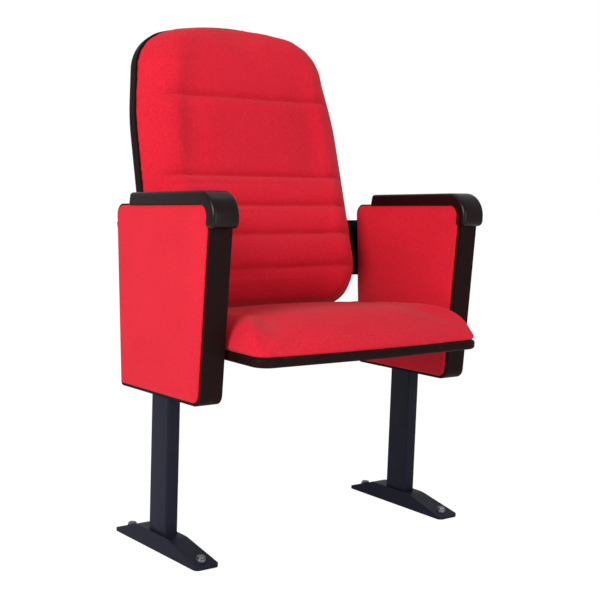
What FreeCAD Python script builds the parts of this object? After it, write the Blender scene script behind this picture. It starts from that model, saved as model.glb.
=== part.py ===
import FreeCAD
import Part
import math
import os

# Tip-up auditorium seat on two floor-standing legs, in millimetres.
# X runs across the chair, the sitter faces -Y, Z is up.
# The origin is on the floor, in the middle of the four floor-bolt holes.

# Driving sizes of the stand
LEG_SPACING = 580.0
LEG_X = LEG_SPACING / 2
LEG_Y = 8.0
LEG_DEPTH = 58.0
LEG_WIDTH = 26.0
LEG_WALL = 2.5
LEG_CORNER = 4.0
LEG_TOP_Z = 600.0

FOOT_LENGTH = 280.0
FOOT_WIDTH = 50.0
FOOT_TOP_WIDTH = 38.0
FOOT_HEIGHT = 29.0
FOOT_TOE = 5.0
FOOT_PLATE = 4.0
FOOT_CORNER = 9.0
FLOOR_HOLE_SPAN = 234.0
FLOOR_HOLE_RADIUS = 5.5
FLOOR_HOLE_BOSS = 11.0

# Driving sizes of the arm panels
FRAME_HALF = 22.0
BOARD_INNER = 13.2
BOARD_THICK = 8.0
PAD_FACE = 24.5
PAD_WRAP = 2.4
WEB_HALF = 1.5
BOARD_CORNERS = ((128.0, 285.0), (155.0, 612.0), (-148.0, 629.0), (-128.0, 289.0))
BOARD_RADII = (6.0, 20.0, 20.0, 17.0)
FRAME_RADII = (8.0, 21.0, 22.0, 20.0)
FRAME_MARGINS = (2.5, 2.5, 8.0, 5.0)
FRAME_WALLS = (12.0, 14.0, 12.0, 10.0)
RIB = 4.0
RIB_LEVELS = (368.0, 450.0, 532.0)
PEG_SPOTS = ((-75.0, 315.0), (85.0, 315.0), (-95.0, 580.0), (100.0, 575.0))
PEG_RADIUS = 3.0
PEG_BOSS_RADIUS = 6.5

# Driving sizes of the arm caps
CAP_HALF = 27.5
CAP_CORNERS = ((113.0, 598.0), (106.0, 637.5), (-170.0, 654.0), (-168.0, 588.5))
CAP_RADII = (1.0, 7.0, 43.0, 11.0)
CAP_EDGE = 7.0
CAP_SCREW_SPOTS = (-60.0, 80.0)

# Driving sizes of the back
RECLINE = 15.6
BACK_ORIGIN = FreeCAD.Vector(0, 142.0, 500.0)
BACK_CORNERS = (
    (-240.0, -93.0), (240.0, -93.0), (249.0, 80.0), (244.0, 290.0), (217.0, 448.0),
    (0.0, 501.5), (-217.0, 448.0), (-244.0, 290.0), (-249.0, 80.0),
)
BACK_RADII = (88.0, 88.0, 900.0, 500.0, 92.0, 620.0, 92.0, 500.0, 900.0)
SHELL_DEPTH = 32.0
SHELL_WALL = 4.0
SHELL_ROUND = 17.0
BACK_BOARD = 15.0

# Side view of the back's foam: distance up the back against depth in front of the seam
FOAM_CORNERS = (
    (-92.0, -5.0), (-92.0, 50.0), (10.0, 66.0), (200.0, 48.0), (400.0, 55.0), (483.5, 40.0), (483.5, -5.0),
)
FOAM_RADII = (1.0, 46.0, 160.0, 500.0, 400.0, 34.0, 1.0)
CREASES = (-20.0, 47.0, 106.0, 166.0, 325.0)
CREASE_DEPTH = 7.0
CREASE_HALF = 13.0
BOLSTER = 30.0
DISH = 13.0

# Driving sizes of the tip-up seat
PIVOT_Y = -2.0
PIVOT_Z = 360.0
SEAT_HALF = 259.5
SEAT_REAR = 128.0
SEAT_FRONT_SIDE = -232.0
SEAT_FRONT_MID = -241.0
SEAT_CORNER = 30.0
RIM_TOP = 377.0
RIM_HEIGHT = 16.0
PAN_WALL = 4.0
PAN_BOTTOM = 346.0
PAN_SLOPES = (24.0, 56.0, 110.0, 110.0, 56.0)
TUNNEL_RADIUS = 17.6
TUNNEL_X = (192.0, 254.0)
SEAT_BOARD = 12.0
SEAT_SCREW_SPOTS = ((-150.0, -130.0), (150.0, -130.0), (-150.0, 50.0), (150.0, 50.0))
SEAT_SCREW_HEAD_Z = 359.0
SEAT_TRAVEL = 74.0

# Side view of the seat's foam
SEAT_FOAM_CORNERS = (
    (126.0, 370.0), (126.0, 409.0), (60.0, 416.0), (-178.0, 436.0), (-229.0, 393.0), (-231.0, 370.0),
)
SEAT_FOAM_RADII = (1.0, 14.0, 400.0, 34.0, 14.0, 1.0)

# Stations of the pivot along X on the right side, from the leg inward
PIN_RADIUS = 7.0
PIN_CLEARANCE = 0.05
SPACER_X = (SEAT_HALF + 0.4, LEG_X - PAD_FACE - 0.1)
HINGE_PLATE_X = (243.0, 248.0)
BOSS_INNER_X = 232.0
BOSS_RADIUS = 14.0
BUSH_RADIUS = 9.0
FLANGE_RADIUS = 12.0
COLLAR_X = (225.0, 231.7)
COLLAR_RADIUS = 11.7
SPRING_X = (206.5, 224.5)
PIN_END_X = 204.0
DOG_INNER = 8.4
DOG_OUTER = 11.5
DOG_SWEEP = 30.0
DOG_START = -75.0
STOP_GAP = 0.5

PLANE_YZ = FreeCAD.Placement(
    FreeCAD.Vector(0, 0, 0), FreeCAD.Rotation(FreeCAD.Vector(1, 1, 1), 120)
)
PLANE_BACK = FreeCAD.Placement(
    BACK_ORIGIN, FreeCAD.Rotation(FreeCAD.Vector(1, 0, 0), 90 - RECLINE)
)
X_AXIS = FreeCAD.Vector(1, 0, 0)
Y_AXIS = FreeCAD.Vector(0, 1, 0)
Z_AXIS = FreeCAD.Vector(0, 0, 1)


def box(x0, x1, y0, y1, z0, z1):
    """A block between two limits on each axis."""
    return Part.makeBox(x1 - x0, y1 - y0, z1 - z0, FreeCAD.Vector(x0, y0, z0))


def rod(radius, start, axis, length):
    """A round bar from a start point along an axis."""
    return Part.makeCylinder(radius, length, FreeCAD.Vector(*start), axis)


def mirrored(shape):
    """The same shape on the other side of the chair."""
    return shape.mirror(FreeCAD.Vector(0, 0, 0), X_AXIS)


def both_sides(shape):
    """One compound of a shape and its mirror image."""
    return Part.makeCompound(list(shape.Solids) + list(mirrored(shape).Solids))


def inset_corners(corners, insets):
    """Corners of a counter-clockwise outline with each edge moved inward by its own amount."""
    lines = []
    count = len(corners)
    for i in range(count):
        x0, y0 = corners[i]
        x1, y1 = corners[(i + 1) % count]
        length = math.hypot(x1 - x0, y1 - y0)
        normal = (-(y1 - y0) / length, (x1 - x0) / length)
        reach = normal[0] * x0 + normal[1] * y0 + insets[i]
        lines.append((normal, reach))
    moved = []
    for i in range(count):
        (a, b), c = lines[i - 1]
        (d, e), f = lines[i]
        turn = a * e - b * d
        moved.append(((c * e - b * f) / turn, (a * f - c * d) / turn))
    return moved


def rounded_wire(corners, radii):
    """A closed flat wire through the corners, each rounded by a tangent arc."""
    spots = [FreeCAD.Vector(x, y, 0) for x, y in corners]
    arcs = []
    for i, spot in enumerate(spots):
        back = (spots[i - 1] - spot).normalize()
        ahead = (spots[(i + 1) % len(spots)] - spot).normalize()
        half = back.getAngle(ahead) / 2
        middle = (back + ahead).normalize()
        centre = spot + middle * (radii[i] / math.sin(half))
        reach = radii[i] / math.tan(half)
        arcs.append((spot + back * reach, centre - middle * radii[i], spot + ahead * reach))
    edges = []
    for i, (start, top, end) in enumerate(arcs):
        before = arcs[i - 1][2]
        if before.distanceToPoint(start) > 1e-6:
            edges.append(Part.makeLine(before, start))
        edges.append(Part.Arc(start, top, end).toShape())
    return Part.Wire(edges)


def slab(corners, radii, low, high, place=None):
    """A rounded outline given thickness from low to high along its own normal."""
    solid = Part.Face(rounded_wire(corners, radii)).extrude(FreeCAD.Vector(0, 0, high - low))
    solid.translate(FreeCAD.Vector(0, 0, low))
    if place is not None:
        solid.Placement = place.multiply(solid.Placement)
    return solid


def side_slab(corners, radii, low, high):
    """A slab whose outline lies in the Y-Z plane, measured from the right leg's middle."""
    solid = slab(corners, radii, low, high, PLANE_YZ)
    solid.translate(FreeCAD.Vector(LEG_X, 0, 0))
    return solid


def shrunk(radii, amount):
    """Corner radii of an outline after it moves inward."""
    return [max(radius - amount, 1.0) for radius in radii]


def board_outline(margin):
    """The upholstered board's corners, moved outward by a margin."""
    return inset_corners(BOARD_CORNERS, [-margin] * 4)


def frame_outline(margin=0.0):
    """The arm frame's corners, moved outward by a margin."""
    return inset_corners(BOARD_CORNERS, [-(edge + margin) for edge in FRAME_MARGINS])


def make_foot():
    """Pressed steel shoe: sloping top, drawn-in sides, open below, a boss at each bolt hole."""
    half = FOOT_LENGTH / 2
    flat_front = -40.0
    flat_rear = 72.0

    def shoe(inset):
        profile = [
            (-half + inset, 0.0), (half - inset, 0.0), (half - inset, FOOT_TOE - inset / 2),
            (flat_rear, FOOT_HEIGHT - inset), (flat_front, FOOT_HEIGHT - inset),
            (-half + inset, FOOT_TOE - inset / 2),
        ]
        radii = (0.01, 0.01, 2.0, 60.0, 60.0, 2.0)
        body = slab(profile, radii, -FOOT_WIDTH, FOOT_WIDTH, PLANE_YZ)
        base = FOOT_WIDTH / 2 - inset
        top = FOOT_TOP_WIDTH / 2 - inset
        section = [
            FreeCAD.Vector(-base, -half, 0), FreeCAD.Vector(base, -half, 0),
            FreeCAD.Vector(base, -half, FOOT_TOE), FreeCAD.Vector(top, -half, FOOT_HEIGHT + 1),
            FreeCAD.Vector(-top, -half, FOOT_HEIGHT + 1), FreeCAD.Vector(-base, -half, FOOT_TOE),
        ]
        taper = Part.Face(Part.makePolygon(section + section[:1])).extrude(Y_AXIS * FOOT_LENGTH)
        plan = [(-base, -half + inset), (base, -half + inset), (base, half - inset), (-base, half - inset)]
        corner = [FOOT_CORNER - inset] * 4
        return body.common(taper).common(slab(plan, corner, -1.0, FOOT_HEIGHT + 2))

    foot = shoe(0.0).cut(shoe(FOOT_PLATE))
    for y in (-FLOOR_HOLE_SPAN / 2, FLOOR_HOLE_SPAN / 2):
        boss = rod(FLOOR_HOLE_BOSS, (0, y, 0), Z_AXIS, FOOT_HEIGHT).common(shoe(0.0))
        foot = foot.fuse(boss)
        foot = foot.cut(rod(FLOOR_HOLE_RADIUS, (0, y, -1), Z_AXIS, FOOT_HEIGHT + 2))
    foot = foot.removeSplitter()
    foot.translate(FreeCAD.Vector(LEG_X, 0, 0))
    return foot


def make_leg(pivot_bore):
    """Rectangular tube from the foot to the top of the arm frame."""
    half_x = LEG_WIDTH / 2
    half_y = LEG_DEPTH / 2

    def tube(inset, low, high):
        x = half_x - inset
        y = half_y - inset
        corners = [(-x, -y), (x, -y), (x, y), (-x, y)]
        return slab(corners, [LEG_CORNER - inset] * 4, low, high)

    leg = tube(0.0, FOOT_HEIGHT, LEG_TOP_Z).cut(tube(LEG_WALL, FOOT_HEIGHT - 1, LEG_TOP_Z + 1))
    leg.translate(FreeCAD.Vector(LEG_X, LEG_Y, 0))
    return leg.cut(pivot_bore)


def make_arm_frame(screws):
    """Moulded black frame: rim wall, middle web, ribs, peg bosses and a channel for the leg."""
    frame = side_slab(frame_outline(), FRAME_RADII, -FRAME_HALF, FRAME_HALF)
    inner = inset_corners(frame_outline(), FRAME_WALLS)
    channel_y0 = LEG_Y - LEG_DEPTH / 2 - 0.2
    channel_y1 = LEG_Y + LEG_DEPTH / 2 + 0.2
    guide = box(
        LEG_X - FRAME_HALF, LEG_X + FRAME_HALF, channel_y0 - RIB, channel_y1 + RIB, 200, 700
    )
    for side in (-1, 1):
        low, high = sorted((side * BOARD_INNER, side * (FRAME_HALF + 1)))
        recess = side_slab(board_outline(0.3), BOARD_RADII, low, high)
        low, high = sorted((side * WEB_HALF, side * (BOARD_INNER + 0.1)))
        pocket = side_slab(inner, [8.0] * 4, low, high).cut(guide)
        for level in RIB_LEVELS:
            pocket = pocket.cut(box(LEG_X - 30, LEG_X + 30, -300, 300, level, level + RIB))
        for y, z in PEG_SPOTS:
            pocket = pocket.cut(rod(PEG_BOSS_RADIUS, (LEG_X - 30, y, z), X_AXIS, 60))
        frame = frame.cut(recess).cut(pocket)
    channel_half = LEG_WIDTH / 2 + 0.2
    channel = box(
        LEG_X - channel_half, LEG_X + channel_half, channel_y0, channel_y1, 200, LEG_TOP_Z + 1
    )
    return frame.cut(channel).cut(screws)


def make_board(side, bores):
    """Plywood board of one face of the arm, inside its padded cover."""
    low, high = sorted((side * BOARD_INNER, side * (BOARD_INNER + BOARD_THICK)))
    outline = board_outline(-PAD_WRAP)
    return side_slab(outline, shrunk(BOARD_RADII, PAD_WRAP), low, high).cut(bores)


def make_pad(side, board, bores):
    """Foam and cloth over a board: flat face with a soft rounded border."""
    low, high = sorted((side * BOARD_INNER, side * PAD_FACE))
    pad = side_slab(board_outline(0.0), BOARD_RADII, low, high)
    face_x = LEG_X + side * PAD_FACE
    rim = [edge for edge in pad.Edges if abs(edge.CenterOfMass.x - face_x) < 0.01]
    return pad.makeFillet(2.5, rim).cut(board).cut(bores)


def make_pegs():
    """Plastic pegs that hold each board to the bosses of the arm frame."""
    pegs = []
    for side in (-1, 1):
        for y, z in PEG_SPOTS:
            start = LEG_X + side * (BOARD_INNER - 8.0)
            pegs.append(rod(PEG_RADIUS, (start, y, z), X_AXIS * side, 12.0))
    return Part.makeCompound(pegs)


def make_upright_screws():
    """Pan-head screws through the frame's front guide rib into the leg."""
    screws = []
    rib_face = LEG_Y - LEG_DEPTH / 2 - 0.2 - RIB
    for z in (340.0, 560.0):
        for x in (LEG_X - 7.5, LEG_X + 7.5):
            head = rod(4.5, (x, rib_face - 3.0, z), Y_AXIS, 3.0)
            screws.append(head.fuse(rod(2.5, (x, rib_face, z), Y_AXIS, 14.0)).removeSplitter())
    return Part.makeCompound(screws)


def make_arm_cap(screws):
    """Armrest cap: rounded top, nose rolled down over the front, side skirts to the boards."""
    cap = side_slab(CAP_CORNERS, CAP_RADII, -CAP_HALF, CAP_HALF)
    rim = [
        edge for edge in cap.Edges
        if abs(abs(edge.CenterOfMass.x - LEG_X) - CAP_HALF) < 0.01 and edge.CenterOfMass.z > 605
    ]
    cap = cap.makeFillet(CAP_EDGE, rim)
    cap = cap.cut(side_slab(board_outline(0.4), BOARD_RADII, -CAP_HALF - 1, CAP_HALF + 1))
    pocket = side_slab(frame_outline(0.15), FRAME_RADII, -FRAME_HALF - 0.15, FRAME_HALF + 0.15)
    return cap.cut(pocket).cut(screws)


def make_cap_screws():
    """Screws up through the frame's top wall into the cap."""
    screws = []
    top_slope = (612.0 - 629.0) / (155.0 + 148.0)
    for y in CAP_SCREW_SPOTS:
        roof = 629.0 + (y + 148.0) * top_slope + FRAME_MARGINS[1] - FRAME_WALLS[1]
        head = rod(4.5, (LEG_X - 7.0, y, roof - 3.0), Z_AXIS, 3.0 + 1.0)
        screws.append(head.fuse(rod(2.2, (LEG_X - 7.0, y, roof), Z_AXIS, 26.0)).removeSplitter())
    return Part.makeCompound(screws)


def back_outline(inset):
    """The back's rounded outline in its own plane, moved inward."""
    corners = inset_corners(BACK_CORNERS, [inset] * len(BACK_CORNERS))
    return corners, shrunk(BACK_RADII, inset)


def back_slab(inset, low, high):
    """A plate of the back's outline between two depths."""
    corners, radii = back_outline(inset)
    return slab(corners, radii, low, high)


def make_back_bracket():
    """Folded steel wing: a tail inside the arm frame and a plate behind the back board."""
    low = -31.0
    high = 87.0
    front = -BACK_BOARD
    thick = 5.0
    wing_end = LEG_X + WEB_HALF + thick
    plate_corners = [(205.0, low), (wing_end, low), (wing_end, high), (205.0, high)]
    plate = slab(plate_corners, [14.0, 0.01, 0.01, 14.0], front - thick, front, PLANE_BACK)
    tail_corners = [(70.0, 478.0), (150.0, 474.0), (180.0, 571.0), (70.0, 566.0)]
    tail = slab(tail_corners, [10.0, 1.0, 1.0, 10.0], LEG_X + WEB_HALF, wing_end, PLANE_YZ)
    behind = slab(
        [(200.0, low - 60), (320.0, low - 60), (320.0, high + 60), (200.0, high + 60)],
        [1.0] * 4, front - thick - 60.0, front - thick, PLANE_BACK,
    )
    return plate.fuse(tail.cut(behind)).removeSplitter()


def make_back_bracket_bolts():
    """Bolts through the wing into the back board and through the tail into the frame's web."""
    bolts = []
    for x, v in ((222.0, -8.0), (222.0, 64.0)):
        head = Part.makeCylinder(6.5, 4.0, FreeCAD.Vector(x, v, -BACK_BOARD - 9.0), Z_AXIS)
        shank = Part.makeCylinder(3.0, 15.0, FreeCAD.Vector(x, v, -BACK_BOARD - 5.0), Z_AXIS)
        bolt = head.fuse(shank).removeSplitter()
        bolt.Placement = PLANE_BACK.multiply(bolt.Placement)
        bolts.append(bolt)
    for y, z in ((90.0, 498.0), (90.0, 552.0)):
        face = LEG_X + WEB_HALF + 5.0
        head = rod(6.0, (face, y, z), X_AXIS, 3.5)
        shank = rod(3.0, (face, y, z), -X_AXIS, 10.0)
        bolts.append(head.fuse(shank).removeSplitter())
    return Part.makeCompound(bolts)


def make_back_shell(brackets, screws):
    """Black outer shell: rounded tray with inner ribs and slots for the two wings."""
    tray = back_slab(0.0, -SHELL_DEPTH, 0.0)
    rear = [edge for edge in tray.Edges if abs(edge.CenterOfMass.z + SHELL_DEPTH) < 0.01]
    tray = tray.makeFillet(SHELL_ROUND, rear)
    hollow = back_slab(SHELL_WALL, -SHELL_DEPTH + SHELL_WALL, 1.0)
    rear = [edge for edge in hollow.Edges if abs(edge.CenterOfMass.z + SHELL_DEPTH - SHELL_WALL) < 0.01]
    hollow = hollow.makeFillet(SHELL_ROUND - SHELL_WALL, rear)
    shell = tray.cut(hollow)
    floor = -SHELL_DEPTH + SHELL_WALL - 0.5
    for x in (-90.0, 90.0):
        shell = shell.fuse(box(x - 1.25, x + 1.25, -60, 420, floor, -BACK_BOARD - 3))
    for v in (120.0, 200.0, 280.0, 360.0):
        shell = shell.fuse(box(-170, 170, v - 1.25, v + 1.25, floor, -BACK_BOARD - 3))
    for x in (-150.0, 150.0):
        for v in (150.0, 330.0):
            post = Part.makeCylinder(7.0, -BACK_BOARD - floor, FreeCAD.Vector(x, v, floor), Z_AXIS)
            shell = shell.fuse(post)
    shell.Placement = PLANE_BACK.multiply(shell.Placement)
    slot = slab(
        [(150.0, -32.0), (300.0, -32.0), (300.0, 88.0), (150.0, 88.0)],
        [14.0] * 4, -BACK_BOARD - 5.8, -BACK_BOARD + 0.8, PLANE_BACK,
    )
    shell = shell.cut(slot).cut(mirrored(slot)).cut(screws)
    return shell.removeSplitter()


def make_back_screws():
    """Countersunk screws through the shell's posts into the back board."""
    screws = []
    for x in (-150.0, 150.0):
        for v in (150.0, 330.0):
            head = Part.makeCone(5.0, 2.5, 3.0, FreeCAD.Vector(x, v, -SHELL_DEPTH + 0.5), Z_AXIS)
            shank = Part.makeCylinder(2.5, 24.0, FreeCAD.Vector(x, v, -SHELL_DEPTH + 3.4), Z_AXIS)
            screws.append(head.fuse(shank).removeSplitter())
    group = Part.makeCompound(screws)
    group.Placement = PLANE_BACK
    return group


def make_back_board(holes):
    """Plywood board that carries the foam and takes every back screw."""
    board = back_slab(6.0, -BACK_BOARD, 0.0)
    board.Placement = PLANE_BACK.multiply(board.Placement)
    return board.cut(holes)


def reach_across(face, station):
    """Length of a flat face along the upright line at one station, above its own X axis."""
    line = Part.makeLine(FreeCAD.Vector(station, 0, 0), FreeCAD.Vector(station, 600, 0))
    return line.common(face).Length


def half_width(face, height):
    """Half the width of a symmetric flat face at one height."""
    line = Part.makeLine(FreeCAD.Vector(0, height, 0), FreeCAD.Vector(400, height, 0))
    return line.common(face).Length


def end_spaced(low, high, count):
    """Stations from low to high that crowd together at both ends."""
    middle = (low + high) / 2
    half = (high - low) / 2
    return [middle - half * math.cos(math.pi * i / count) for i in range(count + 1)]


def crease_drop(height):
    """How far the nearest cross channel draws the foam in."""
    off = min(abs(height - crease) for crease in CREASES)
    return CREASE_DEPTH * max(0.0, 1.0 - off / CREASE_HALF) ** 2


def cushion_section(height, depth, wide):
    """Cross-section of the back cushion: sides drawn in to raised bolsters, dished middle."""
    foot = (wide - 1.0, 0.3)
    crest = (wide - min(6.0 + 0.9 * depth, wide * 0.45), depth)
    flank = (wide - 0.4 * (wide - crest[0]), depth * 0.62)
    dish = min(DISH, depth * 0.2)
    inner = (crest[0] - min(BOLSTER, crest[0] * 0.3), depth - 0.75 * dish)
    brow = ((crest[0] + inner[0]) / 2, depth - 0.28 * dish)
    right = [(foot, flank, crest), (crest, brow, inner)]
    left = [[(-x, n) for x, n in reversed(arc)] for arc in reversed(right)]
    arcs = right + [(inner, (0.0, depth - dish), (-inner[0], inner[1]))] + left
    edges = []
    for arc in arcs:
        edges.append(Part.Arc(*[FreeCAD.Vector(x, height, n) for x, n in arc]).toShape())
    ends = [FreeCAD.Vector(x, height, foot[1]) for x in (-foot[0], foot[0])]
    return Part.Wire(edges + [Part.makeLine(*ends)])


def make_back_cushion():
    """Foam and cloth of the back, with cross channels at the lumbar and under the headrest."""
    plan = Part.Face(rounded_wire(*back_outline(1.5)))
    side_view = Part.Face(rounded_wire(FOAM_CORNERS, FOAM_RADII))
    levels = end_spaced(plan.BoundBox.YMin + 1.0, plan.BoundBox.YMax - 1.0, 24)
    levels = [v for v in levels if min(abs(v - crease) for crease in CREASES) > CREASE_HALF]
    for crease in CREASES:
        levels += [crease - CREASE_HALF, crease - 5.0, crease, crease + 5.0, crease + CREASE_HALF]
    sections = []
    for height in sorted(levels):
        depth = reach_across(side_view, height) - crease_drop(height)
        sections.append(cushion_section(height, depth, half_width(plan, height)))
    cushion = Part.makeLoft(sections, True, True)
    cushion.Placement = PLANE_BACK.multiply(cushion.Placement)
    return cushion


def seat_plan(inset):
    """Plan outline of the seat: square rear, rounded front corners and a slightly bowed front."""
    half = SEAT_HALF - inset
    rear = SEAT_REAR - inset
    side = SEAT_FRONT_SIDE + inset
    mid = SEAT_FRONT_MID + inset
    corners = [(half, rear), (-half, rear), (-half, side), (0.0, mid), (half, side)]
    radii = [14.0, 14.0, SEAT_CORNER, 2200.0, SEAT_CORNER]
    return corners, shrunk(radii, inset)


def seat_slab(inset, low, high):
    """A plate of the seat's plan outline between two heights."""
    corners, radii = seat_plan(inset)
    return slab(corners, radii, low, high)


def pan_bowl(inset, top):
    """Upright rim wall that turns into a shallow belly with sloping sides."""
    corners, radii = seat_plan(inset)
    floor = PAN_BOTTOM + inset - PAN_WALL
    low_corners = inset_corners(corners, PAN_SLOPES)
    levels = [(corners, top), (corners, RIM_TOP - RIM_HEIGHT + inset - PAN_WALL), (low_corners, floor)]
    wires = []
    for outline, z in levels:
        wire = rounded_wire(outline, radii)
        wire.translate(FreeCAD.Vector(0, 0, z))
        wires.append(wire)
    return Part.makeLoft(wires, True, True)


def pivot_tunnel(radius, x0, x1):
    """Half-round tunnel below the pan's rim that houses the pivot, open upward."""
    top = RIM_TOP - 3.0
    bottom = rod(radius, (x0, PIVOT_Y, PIVOT_Z), X_AXIS, x1 - x0)
    bottom = bottom.common(box(x0, x1, PIVOT_Y - radius, PIVOT_Y + radius, PIVOT_Z - radius, PIVOT_Z))
    return bottom.fuse(box(x0, x1, PIVOT_Y - radius, PIVOT_Y + radius, PIVOT_Z, top)).removeSplitter()


def make_seat_pan(screws):
    """Black under-shell of the seat: rolled rim, shallow belly, pivot tunnels, ribs and screw posts."""
    rim = seat_slab(0.0, RIM_TOP - RIM_HEIGHT, RIM_TOP)
    sides = [edge for edge in rim.Edges if abs(edge.CenterOfMass.z - RIM_TOP) < 0.01]
    sides += [edge for edge in rim.Edges if abs(edge.CenterOfMass.z - RIM_TOP + RIM_HEIGHT) < 0.01]
    rim = rim.makeFillet(5.0, sides)
    cavity = pan_bowl(2 * PAN_WALL, RIM_TOP + 1.0)
    pan = rim.fuse(pan_bowl(PAN_WALL, RIM_TOP - 5.0))
    wall = 3.0
    tunnels = pivot_tunnel(TUNNEL_RADIUS, *TUNNEL_X)
    pan = pan.fuse([tunnels, mirrored(tunnels)]).cut(cavity)
    hollow = pivot_tunnel(TUNNEL_RADIUS - wall, TUNNEL_X[0] + wall, TUNNEL_X[1] - wall)
    pan = pan.cut([hollow, mirrored(hollow)])
    inside = cavity.common(box(-300, 300, -300, 300, PAN_BOTTOM, RIM_TOP - 0.2))
    ribs = []
    for x in (-120.0, -60.0, 0.0, 60.0, 120.0):
        ribs.append(box(x - 1.5, x + 1.5, -190, 100, PAN_BOTTOM, RIM_TOP))
    for y in (-160.0, -90.0, -20.0, 50.0):
        ribs.append(box(-150, 150, y - 1.5, y + 1.5, PAN_BOTTOM, RIM_TOP))
    for x, y in SEAT_SCREW_SPOTS:
        ribs.append(rod(8.0, (x, y, PAN_BOTTOM), Z_AXIS, RIM_TOP - PAN_BOTTOM))
    for rib in ribs:
        pan = pan.fuse(rib.common(inside))
    for x, y in SEAT_SCREW_SPOTS:
        pan = pan.cut(rod(5.4, (x, y, PAN_BOTTOM - 5), Z_AXIS, SEAT_SCREW_HEAD_Z - PAN_BOTTOM + 5))
    for side in (-1, 1):
        pan = pan.cut(rod(9.5, (side * 262, PIVOT_Y, PIVOT_Z), -X_AXIS * side, 20))
    return pan.cut(screws).removeSplitter()


def make_seat_screws():
    """Screws up through the pan's posts into the seat board."""
    screws = []
    reach = RIM_TOP + 9.0 - SEAT_SCREW_HEAD_Z
    for x, y in SEAT_SCREW_SPOTS:
        head = rod(5.0, (x, y, SEAT_SCREW_HEAD_Z), Z_AXIS, 3.5)
        screws.append(head.fuse(rod(2.5, (x, y, SEAT_SCREW_HEAD_Z), Z_AXIS, reach)).removeSplitter())
    return Part.makeCompound(screws)


def make_seat_board(screws):
    """Plywood board under the seat foam."""
    return seat_slab(13.0, RIM_TOP + 0.2, RIM_TOP + 0.2 + SEAT_BOARD).cut(screws)


def seat_section(y, half, low, high, corner, crown):
    """Upright cross-section of the seat cushion at one depth."""
    def at(x, z):
        return FreeCAD.Vector(x, y, z)

    edges = [Part.makeLine(at(-half, low), at(half, low))]
    bulge = low + (high - corner - low) * 0.55
    edges.append(Part.Arc(at(half, low), at(half + 1.5, bulge), at(half, high - corner)).toShape())
    turn = at(half - corner * 0.3, high - corner * 0.3)
    edges.append(Part.Arc(at(half, high - corner), turn, at(half - corner, high)).toShape())
    edges.append(Part.Arc(at(half - corner, high), at(0, high + crown), at(-half + corner, high)).toShape())
    turn = at(-half + corner * 0.3, high - corner * 0.3)
    edges.append(Part.Arc(at(-half + corner, high), turn, at(-half, high - corner)).toShape())
    edges.append(Part.Arc(at(-half, high - corner), at(-half - 1.5, bulge), at(-half, low)).toShape())
    return Part.Wire(edges)


def make_seat_cushion(board):
    """Seat foam and cloth: crowned top, waterfall front, lower rear under the back."""
    corners, radii = seat_plan(3.5)
    plan = Part.Face(rounded_wire(corners, radii))
    side_view = Part.Face(rounded_wire(SEAT_FOAM_CORNERS, SEAT_FOAM_RADII))
    low = RIM_TOP + 0.2
    base = SEAT_FOAM_CORNERS[0][1]
    rear = plan.BoundBox.YMax - 1.0
    front = SEAT_FOAM_CORNERS[-2][0] + 0.8
    sections = []
    for y in end_spaced(front, rear, 22):
        high = base + reach_across(side_view, y)
        thick = high - low
        half = half_width(plan, y)
        sections.append(seat_section(y, half, low, high - 0.18 * thick, 0.42 * thick, 0.18 * thick))
    return Part.makeLoft(sections, True, True).cut(board)


def ring_sector(inner, outer, start, sweep, x0, x1):
    """A sector of a ring about the pivot axis, angles in degrees in the Y-Z plane."""
    def at(radius, angle):
        turn = math.radians(angle)
        return FreeCAD.Vector(x0, PIVOT_Y + radius * math.cos(turn), PIVOT_Z + radius * math.sin(turn))

    end = start + sweep
    middle = start + sweep / 2
    edges = [
        Part.Arc(at(outer, start), at(outer, middle), at(outer, end)).toShape(),
        Part.makeLine(at(outer, end), at(inner, end)),
        Part.Arc(at(inner, end), at(inner, middle), at(inner, start)).toShape(),
        Part.makeLine(at(inner, start), at(outer, start)),
    ]
    return Part.Face(Part.Wire(edges)).extrude(FreeCAD.Vector(x1 - x0, 0, 0))


def pivot_rod(radius, x0, x1):
    """A round bar on the right pivot axis."""
    return rod(radius, (x0, PIVOT_Y, PIVOT_Z), X_AXIS, x1 - x0)


def make_pivot_pin():
    """Steel pin welded through the leg tube."""
    return pivot_rod(PIN_RADIUS, PIN_END_X, LEG_X + LEG_WIDTH / 2)


def make_pivot_spacer():
    """Nylon ring between the arm panel and the seat."""
    return pivot_rod(13.0, *SPACER_X).cut(pivot_rod(PIN_RADIUS, *SPACER_X))


def make_hinge_bush():
    """Flanged nylon bush pressed into the hinge boss."""
    sleeve = pivot_rod(BUSH_RADIUS, BOSS_INNER_X, HINGE_PLATE_X[1])
    flange = pivot_rod(FLANGE_RADIUS, HINGE_PLATE_X[1], HINGE_PLATE_X[1] + 1.6)
    bore = pivot_rod(PIN_RADIUS + PIN_CLEARANCE, BOSS_INNER_X - 1, HINGE_PLATE_X[1] + 3)
    return sleeve.fuse(flange).cut(bore).removeSplitter()


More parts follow.
